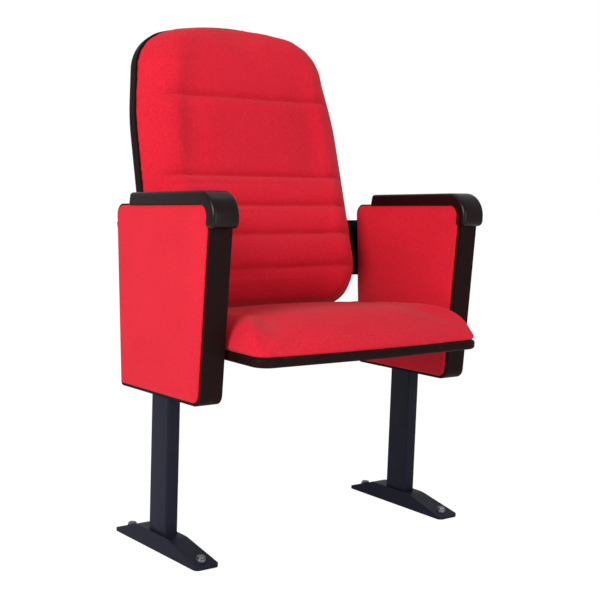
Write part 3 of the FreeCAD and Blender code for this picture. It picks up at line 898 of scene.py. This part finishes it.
@dataclass
class Stand:
    """Two legs on shoes, with their floor bolts."""

    finishes: Finishes
    head_flats: float = 0.0068
    head_height: float = 0.0042
    head_bevel: float = 0.0007
    washer_radius: float = 0.0092
    washer_low: float = 0.0075
    washer_top: float = 0.0135

    def dress_frame(self) -> None:
        """Paints the feet and legs, and plates the screws inside the arms."""
        for side in SIDES:
            for part in ("foot", "leg"):
                Workshop.dress_node(f"{part}_{side}", self.finishes.paint)
        Workshop.dress_node("upright_screws", self.finishes.zinc)

    def make_floor_bolt(self, x: float, y: float) -> bmesh.types.BMesh:
        """A hexagon head on a thick washer.

        Args:
            x: Place across the chair.
            y: Place along the foot.

        Returns:
            The bolt as a bmesh.
        """
        bolt = bmesh.new()
        head_radius = self.head_flats / math.cos(math.pi / 6)
        head_top = self.washer_top + self.head_height
        parts = (
            (32, self.washer_radius, self.washer_low, self.washer_top),
            (6, head_radius, self.washer_top, head_top),
        )
        for sides, radius, low, high in parts:
            made = bmesh.ops.create_cone(
                bolt,
                cap_ends=True,
                segments=sides,
                radius1=radius,
                radius2=radius,
                depth=high - low,
                matrix=Matrix.Translation((x, y, (low + high) / 2)),
            )
            points = set(made["verts"])
            rim = [
                edge
                for edge in bolt.edges
                if points.issuperset(edge.verts)
                and min(vertex.co.z for vertex in edge.verts) > high - ON_FACE
            ]
            bmesh.ops.bevel(
                bolt,
                geom=rim,
                offset=self.head_bevel,
                affect="EDGES",
                segments=3,
                profile=0.5,
                material=-1,
            )
        return bolt

    def make_pieces(self) -> list[bpy.types.Object]:
        """The pieces that are made here.

        Returns:
            The floor bolts.
        """
        made = []
        for side, x in zip(SIDES, (-LEG_X, LEG_X)):
            for end, y in (("front", -FLOOR_BOLT_Y), ("rear", FLOOR_BOLT_Y)):
                shape = self.make_floor_bolt(x, y)
                bolt = Workshop.to_object(shape, f"floor_bolt_{side}_{end}", self.finishes.zinc)
                Workshop.sharpen(bolt)
                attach(bolt, Body.STAND.value)
                made.append(bolt)
        return made


@dataclass
class ArmPair:
    """Both arms: moulded frames, caps and upholstered boards."""

    finishes: Finishes
    face_bevel: float = 0.0028
    cut_below_face: float = 0.0029
    crown_height: float = 0.0016
    crown_reach: float = 0.016
    crown_power: float = 1.4
    corner_gap: float = 0.0003
    grid: float = 0.009
    fill: float = 0.9

    def dress_frame(self) -> None:
        """Gives the moulded parts and the hidden boards their finishes."""
        for side in SIDES:
            Workshop.dress_node(f"arm_frame_{side}", self.finishes.plastic)
            Workshop.dress_node(f"arm_cap_{side}", self.finishes.cap)
            Workshop.dress_node(f"outer_board_{side}", self.finishes.plywood)
            Workshop.dress_node(f"inner_board_{side}", self.finishes.plywood)
        Workshop.dress_node("board_pegs", self.finishes.plastic)
        Workshop.dress_node("cap_screws", self.finishes.zinc)

    def cut_outline(self, node: str, place: float) -> bmesh.types.BMesh:
        """The outline of a CAD pad where a plane across the chair cuts it, as a filled face.

        Args:
            node: Name of the CAD pad.
            place: Where the plane lies across the chair.

        Returns:
            A bmesh of one face.
        """
        shape = Workshop.copy_of_nodes(node)
        everything = [*shape.verts, *shape.edges, *shape.faces]
        cut = bmesh.ops.bisect_plane(
            shape, geom=everything, plane_co=(place, 0, 0), plane_no=(1, 0, 0), dist=SAME_POINT / 20
        )
        kept = {part for part in cut["geom_cut"] if isinstance(part, bmesh.types.BMVert)}
        rest = [vertex for vertex in shape.verts if vertex not in kept]
        bmesh.ops.delete(shape, geom=rest, context="VERTS")
        bmesh.ops.remove_doubles(shape, verts=shape.verts, dist=self.corner_gap)
        bmesh.ops.edgeloop_fill(shape, edges=shape.edges)
        return shape

    def crown(self, place: Vector, outline: list[tuple[Vector, Vector]]) -> float:
        """How far the foam stands proud at a place of the face.

        Args:
            place: A point of the face.
            outline: The runs of the border.

        Returns:
            The height, in metres.
        """
        away = min((place - nearest_on_run(place, start, end)).length for start, end in outline)
        flat = math.exp(-((away / self.crown_reach) ** self.crown_power))
        return self.crown_height * (1.0 - flat)

    def make_pad(self, node: str) -> bpy.types.Object:
        """One upholstered board: the CAD pad's outline, rounded over at its border and crowned.

        Args:
            node: Name of the CAD pad that it stands for.

        Returns:
            The pad.
        """
        low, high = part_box(node)
        leg = math.copysign(LEG_X, low.x)
        back, face = sorted((low.x, high.x), key=lambda x: abs(x - leg))
        outward = math.copysign(1.0, face - leg)
        cut = face - outward * self.cut_below_face
        shape = self.cut_outline(node, cut)
        bmesh.ops.translate(shape, verts=shape.verts, vec=(back - cut, 0, 0))
        grown = bmesh.ops.extrude_face_region(shape, geom=list(shape.faces))
        moved = [part for part in grown["geom"] if isinstance(part, bmesh.types.BMVert)]
        bmesh.ops.translate(shape, verts=moved, vec=(face - back, 0, 0))
        bmesh.ops.recalc_face_normals(shape, faces=shape.faces)
        rim = [
            edge
            for edge in shape.edges
            if all(abs(vertex.co.x - face) < ON_FACE for vertex in edge.verts)
        ]
        border = [tuple(vertex.co.copy() for vertex in edge.verts) for edge in rim]
        bmesh.ops.bevel(
            shape,
            geom=rim,
            offset=self.face_bevel,
            affect="EDGES",
            segments=5,
            profile=0.5,
            material=-1,
        )
        self.divide(shape, low, high)
        for vertex in shape.verts:
            if abs(vertex.co.x - face) < ON_FACE:
                vertex.co.x += outward * self.crown(vertex.co, border)
        pad = Workshop.to_object(shape, node.replace("pad", "padded_board"), self.finishes.cloth)
        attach(pad, Body.STAND.value)
        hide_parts(node)
        return pad

    def divide(self, shape: bmesh.types.BMesh, low: Vector, high: Vector) -> None:
        """Cuts a pad into an even grid, so that its face can be crowned.

        Args:
            shape: The pad.
            low: Its lowest corner.
            high: Its highest corner.
        """
        for axis in (1, 2):
            count = round((high[axis] - low[axis]) / self.grid)
            for number in range(1, count):
                place = Vector()
                place[axis] = low[axis] + (high[axis] - low[axis]) * number / count
                direction = Vector()
                direction[axis] = 1.0
                everything = [*shape.verts, *shape.edges, *shape.faces]
                bmesh.ops.bisect_plane(shape, geom=everything, plane_co=place, plane_no=direction)

    def make_pieces(self) -> list[bpy.types.Object]:
        """The pieces that are made here.

        Returns:
            The four padded boards.
        """
        faces = ("outer", "inner")
        return [self.make_pad(f"{face}_pad_{side}") for side in SIDES for face in faces]


@dataclass
class BackRest:
    """Reclined back: black shell, steel wings and a channelled cushion.

    Places are in the back's own axes: across, up the back, and towards the sitter.
    """

    finishes: Finishes
    foam: Foam = Foam(
        net=0.0058,
        base=(0.004, 0.018),
        held_below=0.004,
        first_relax=6,
        pressure=3.0,
        most_move=0.006,
        face=(0.35, 0.85),
        last_relax=26,
    )
    front: tuple[float, float] = (0.012, 0.030)
    sewn_inset: tuple[float, float] = (0.012, 0.060)
    creases: tuple[float, ...] = (-0.020, 0.047, 0.106, 0.166, 0.325)
    rolls: int = 3
    crease_depth: float = 0.0085
    crease_width: float = 0.0050
    crease_power: float = 1.25
    crease_wander: float = 0.25
    soft_creases: tuple[float, ...] = (-0.036, 0.088, 0.147)
    soft_share: float = 0.3
    soft_side: tuple[float, float] = (0.12, -0.12)
    roll_swell: float = 0.0035
    roll_power: float = 0.7
    trough_depth: float = 0.0062
    trough_inset: float = 0.098
    trough_half: float = 0.034
    trough_start: tuple[float, float] = (0.13, 0.20)
    trough_end: tuple[float, float] = (0.27, 0.38)
    trough_least: float = 0.1
    row_height: float = 0.008
    plane: Matrix = field(init=False)

    def __post_init__(self) -> None:
        """Works out the back's own axes: across, up the back, and towards the sitter."""
        upward = Vector((0.0, math.sin(RECLINE), math.cos(RECLINE)))
        forward = Vector((0.0, -math.cos(RECLINE), math.sin(RECLINE)))
        turn = Matrix((Vector((1, 0, 0)), upward, forward)).transposed()
        self.plane = Matrix.Translation(BACK_SEAM) @ turn.to_4x4()

    def dress_frame(self) -> None:
        """Gives the shell, board and brackets their finishes."""
        Workshop.dress_node("back_shell", self.finishes.plastic)
        Workshop.dress_node("back_board", self.finishes.plywood)
        Workshop.dress_node("back_screws", self.finishes.zinc)
        Workshop.dress_node("bracket_bolts", self.finishes.zinc)
        for side in SIDES:
            Workshop.dress_node(f"back_bracket_{side}", self.finishes.paint)

    def crease_share(self, place: Vector) -> float:
        """How deep the sewn channels are at a point, as a share of their full depth.

        Args:
            place: The point.

        Returns:
            0 away from the channels and about 1 in the middle of one.
        """
        off = min(abs(place.y - crease) for crease in self.creases)
        groove = math.exp(-((off / self.crease_width) ** self.crease_power))
        off = min(abs(place.y - crease) for crease in self.soft_creases)
        faint = self.soft_share * math.exp(-((off / self.crease_width) ** 2))
        groove += faint * smoothstep(*self.soft_side, place.x)
        wander = noise.noise(Vector((place.x * 14.0, place.y * 9.0, 0.3)))
        return groove * (1.0 + self.crease_wander * wander)

    def roll_share(self, place: Vector) -> float:
        """How full the roll between two sewn channels is at a point.

        Args:
            place: The point.

        Returns:
            0 at a channel and 1 in the middle of a roll.
        """
        for low, high in zip(self.creases, self.creases[1 : self.rolls + 1]):
            if low < place.y < high:
                along = (place.y - low) / (high - low)
                return math.sin(math.pi * along) ** self.roll_power
        return 0.0

    def sewn_move(self, place: Vector, half_width: float) -> float:
        """How far the sewn channels, the rolls and the side troughs move a point.

        Args:
            place: The point.
            half_width: Half the cushion's width there.

        Returns:
            The move towards the sitter, in metres.
        """
        inset = half_width - abs(place.x)
        on_front = smoothstep(*self.front, place.z)
        swell = self.roll_swell * self.roll_share(place)
        groove = self.crease_depth * self.crease_share(place)
        sewn = smoothstep(*self.sewn_inset, inset) * on_front * (swell - groove)
        above = smoothstep(*self.trough_start, place.y)
        level = above * (1.0 - smoothstep(*self.trough_end, place.y))
        share = on_front * (self.trough_least + (1.0 - self.trough_least) * level)
        aside = (inset - self.trough_inset) / self.trough_half
        return sewn - self.trough_depth * share * math.exp(-aside * aside)

    def sew(self, cushion: bpy.types.Object) -> None:
        """Draws the sewn channels into the cushion.

        Args:
            cushion: The blown-up cushion.
        """
        inverse = self.plane.inverted()
        places = [inverse @ vertex.co for vertex in cushion.data.vertices]
        rows = [round(place.y / self.row_height) for place in places]
        widths: dict[int, float] = {}
        for row, place in zip(rows, places):
            widths[row] = max(widths.get(row, 0.0), abs(place.x))
        for vertex, row, place in zip(cushion.data.vertices, rows, places):
            place.z += self.sewn_move(place, widths[row])
            vertex.co = self.plane @ place

    def make_cushion(self) -> bpy.types.Object:
        """The cushion: the CAD form, blown up by simulation, with its sewn channels drawn in.

        Returns:
            The cushion.
        """
        shape = Workshop.copy_of_nodes("back_cushion", "back_board")
        cushion = Workshop.to_object(shape, "back_cushion_cover", self.finishes.back_cloth)
        inverse = self.plane.inverted()
        forward = self.plane.to_3x3().col[2]
        Workshop.blow_up(cushion, self.foam, lambda place: (inverse @ place).z, forward)
        Workshop.refine(cushion)
        self.sew(cushion)
        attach(cushion, Body.STAND.value)
        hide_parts("back_cushion")
        return cushion

    def make_pieces(self) -> list[bpy.types.Object]:
        """The pieces that are made here.

        Returns:
            The back cushion.
        """
        return [self.make_cushion()]


@dataclass
class TipUpSeat:
    """The seat: pan, board and cushion on two hinges."""

    finishes: Finishes
    foam: Foam = Foam(
        net=0.0058,
        base=(0.006, 0.020),
        held_below=0.005,
        first_relax=4,
        pressure=4.0,
        most_move=0.010,
        face=(0.25, 0.8),
        last_relax=12,
    )
    half_width: float = 0.256
    belly: float = 0.0045
    belly_height: float = 0.058
    belly_start: float = 0.78
    belly_power: float = 0.8
    shoulder: float = 0.0095
    shoulder_inset: float = 0.022
    shoulder_half: float = 0.032
    shoulder_start: tuple[float, float] = (0.010, 0.030)
    bow: float = 0.0095
    bow_half: float = 0.232
    bow_reach: float = 0.11

    def side_belly(self, place: Vector, base: float) -> float:
        """How far the cushion's sides belly out between its base and its top.

        Args:
            place: A point of the cushion.
            base: Height of the cushion's base.

        Returns:
            The move across the seat, in metres.
        """
        height = min(1.0, max(0.0, (place.z - base) / self.belly_height))
        aside = smoothstep(self.belly_start * self.half_width, self.half_width, abs(place.x))
        full = math.sin(math.pi * height**self.belly_power)
        return math.copysign(self.belly * aside * full, place.x)

    def shoulder_lift(self, place: Vector, base: float) -> float:
        """How far the foam along both sides stands fuller than its plain form.

        Args:
            place: A point of the cushion.
            base: Height of the cushion's base.

        Returns:
            The move upward, in metres.
        """
        aside = (self.half_width - abs(place.x) - self.shoulder_inset) / self.shoulder_half
        level = smoothstep(*self.shoulder_start, place.z - base)
        return self.shoulder * math.exp(-aside * aside) * level

    def front_bow(self, place: Vector, front: float) -> float:
        """How far the front of the cushion bows out to follow the rim of the pan.

        Args:
            place: A point of the cushion.
            front: Where the cushion's front is at its ends.

        Returns:
            The move towards the front, in metres.
        """
        across = max(0.0, 1.0 - (place.x / self.bow_half) ** 2)
        return self.bow * across * smoothstep(front + self.bow_reach, front, place.y)

    def dress_frame(self) -> None:
        """Gives the pan, board and pivot parts their finishes."""
        Workshop.dress_node("seat_pan", self.finishes.plastic)
        Workshop.dress_node("seat_board", self.finishes.plywood)
        Workshop.dress_node("seat_screws", self.finishes.zinc)
        Workshop.dress_node("hinge_screws", self.finishes.zinc)
        Workshop.dress_node("pivot_fixings", self.finishes.zinc)
        for side in SIDES:
            Workshop.dress_node(f"seat_hinge_{side}", self.finishes.zinc)
            Workshop.dress_node(f"stop_collar_{side}", self.finishes.zinc)
            Workshop.dress_node(f"pivot_pin_{side}", self.finishes.zinc)
            Workshop.dress_node(f"return_spring_{side}", self.finishes.spring)
            Workshop.dress_node(f"hinge_bush_{side}", self.finishes.nylon)
            Workshop.dress_node(f"pivot_spacer_{side}", self.finishes.nylon)

    def make_cushion(self) -> bpy.types.Object:
        """The cushion: the CAD form, blown up by simulation on its flat base.

        Returns:
            The cushion.
        """
        low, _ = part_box("seat_cushion")
        shape = Workshop.copy_of_nodes("seat_cushion", "seat_board")
        cushion = Workshop.to_object(shape, "seat_cushion_cover", self.finishes.cloth)
        Workshop.blow_up(
            cushion, self.foam, lambda place: place.z - low.z, Vector((0.0, 0.0, 1.0))
        )
        for vertex in cushion.data.vertices:
            vertex.co.x += self.side_belly(vertex.co, low.z)
            vertex.co.z += self.shoulder_lift(vertex.co, low.z)
            vertex.co.y -= self.front_bow(vertex.co, low.y)
        Workshop.refine(cushion)
        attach(cushion, Body.SEAT.value)
        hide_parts("seat_cushion")
        return cushion

    def make_pieces(self) -> list[bpy.types.Object]:
        """The pieces that are made here.

        Returns:
            The seat cushion.
        """
        return [self.make_cushion()]


@dataclass(frozen=True)
class Lamp:
    """A soft square lamp: its place and side in metres, and how much glossy surfaces show it."""

    name: str
    place: Place
    side: float
    watts: float
    shine: float


@dataclass
class Studio:
    """Pale floor, soft lamps and the camera."""

    camera_place: Vector = field(default_factory=lambda: Vector((-1.45506, -1.85823, 0.71617)))
    yaw: float = math.radians(38.07)
    pitch: float = math.radians(-6.69)
    roll: float = math.radians(2.02)
    lens: float = 74.44
    sensor_width: float = 36.0
    world_level: float = 0.50
    lamp_target: Vector = field(default_factory=lambda: Vector((0.0, 0.0, 0.5)))
    lamps: tuple[Lamp, ...] = (
        Lamp("key_lamp", (-2.7, -1.0, 1.6), side=1.4, watts=72.0, shine=1.0),
        Lamp("front_lamp", (0.2, -3.2, 0.8), side=1.8, watts=29.0, shine=0.3),
        Lamp("top_lamp", (0.2, 0.2, 3.0), side=2.0, watts=8.0, shine=0.5),
    )
    floor_half: float = 30.0
    floor_drop: float = 0.0005
    floor_grey: float = 0.93
    floor_glow: float = 1.06
    floor_glow_share: float = 0.93

    def make_camera(self) -> None:
        """Sets the camera where the photograph was taken from."""
        forward = Vector(
            (
                math.sin(self.yaw) * math.cos(self.pitch),
                math.cos(self.yaw) * math.cos(self.pitch),
                math.sin(self.pitch),
            )
        )
        level = Vector((math.cos(self.yaw), -math.sin(self.yaw), 0.0))
        upright = level.cross(forward)
        right = level * math.cos(self.roll) + upright * math.sin(self.roll)
        above = upright * math.cos(self.roll) - level * math.sin(self.roll)
        turn = Matrix((right, above, -forward)).transposed().to_4x4()
        data = bpy.data.cameras.new("camera")
        data.lens = self.lens
        data.sensor_width = self.sensor_width
        camera = bpy.data.objects.new("camera", data)
        camera.matrix_world = Matrix.Translation(self.camera_place) @ turn
        bpy.context.scene.collection.objects.link(camera)
        bpy.context.scene.camera = camera

    def make_lamp(self, lamp: Lamp) -> None:
        """Adds a lamp that shines at the chair's middle.

        Args:
            lamp: What the lamp is like.
        """
        data = bpy.data.lights.new(lamp.name, "AREA")
        data.shape = "SQUARE"
        data.size = lamp.side
        data.energy = lamp.watts
        data.specular_factor = lamp.shine
        direction = self.lamp_target - Vector(lamp.place)
        hung = bpy.data.objects.new(lamp.name, data)
        hung.location = lamp.place
        hung.rotation_euler = direction.to_track_quat("-Z", "Y").to_euler()
        bpy.context.scene.collection.objects.link(hung)

    def make_world(self) -> None:
        """White backdrop to the eye, softer as a light."""
        world = bpy.data.worlds.new("studio")
        world.use_nodes = True
        bpy.context.scene.world = world
        shader = Shader(world.node_tree)
        path = shader.add("ShaderNodeLightPath")
        seen = shader.math(
            "MAXIMUM",
            path.outputs["Is Camera Ray"],
            path.outputs["Is Transmission Ray"],
        )
        backdrop = shader.add(
            "ShaderNodeBackground",
            {
                "Color": (1.0, 1.0, 1.0, 1.0),
                "Strength": shader.spread(seen, self.world_level, 1.0),
            },
        )
        shader.add("ShaderNodeOutputWorld", {"Surface": backdrop.outputs[0]})

    def make_floor(self) -> None:
        """A large pale floor that keeps the soft shadow."""
        shape = bmesh.new()
        bmesh.ops.create_grid(shape, x_segments=1, y_segments=1, size=self.floor_half)
        bmesh.ops.translate(shape, verts=shape.verts, vec=(0, 0, -self.floor_drop))
        material = bpy.data.materials.new("pale_floor")
        material.use_nodes = True
        shader = Shader(material.node_tree)
        matt = shader.add("ShaderNodeBsdfDiffuse", {"Color": (*[self.floor_grey] * 3, 1.0)})
        glow = shader.add(
            "ShaderNodeEmission", {"Color": (1.0, 1.0, 1.0, 1.0), "Strength": self.floor_glow}
        )
        path = shader.add("ShaderNodeLightPath")
        share = shader.math("MULTIPLY", path.outputs["Is Camera Ray"], self.floor_glow_share)
        mixed = shader.add(
            "ShaderNodeMixShader", {0: share, 1: matt.outputs[0], 2: glow.outputs[0]}
        )
        shader.add("ShaderNodeOutputMaterial", {"Surface": mixed.outputs[0]})
        floor = Workshop.to_object(shape, "floor", material)

    def make(self) -> None:
        """Builds the studio."""
        self.make_camera()
        self.make_world()
        self.make_floor()
        for lamp in self.lamps:
            self.make_lamp(lamp)
        bpy.context.scene.view_settings.view_transform = "Standard"


def main() -> None:
    """Dresses the chair and builds the studio round it."""
    logging.basicConfig(level=logging.INFO, format="%(name)s: %(message)s")
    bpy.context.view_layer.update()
    for name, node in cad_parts.items():
        log.info("%s has %d faces from the CAD model", name, len(node.data.polygons))
    finishes = Finishes.make()
    for part in (Stand(finishes), ArmPair(finishes), BackRest(finishes), TipUpSeat(finishes)):
        part.dress_frame()
        for piece in part.make_pieces():
            log.info("%s has %d faces", piece.name, len(piece.data.polygons))
    Studio().make()


if __name__ == "__main__":
    main()
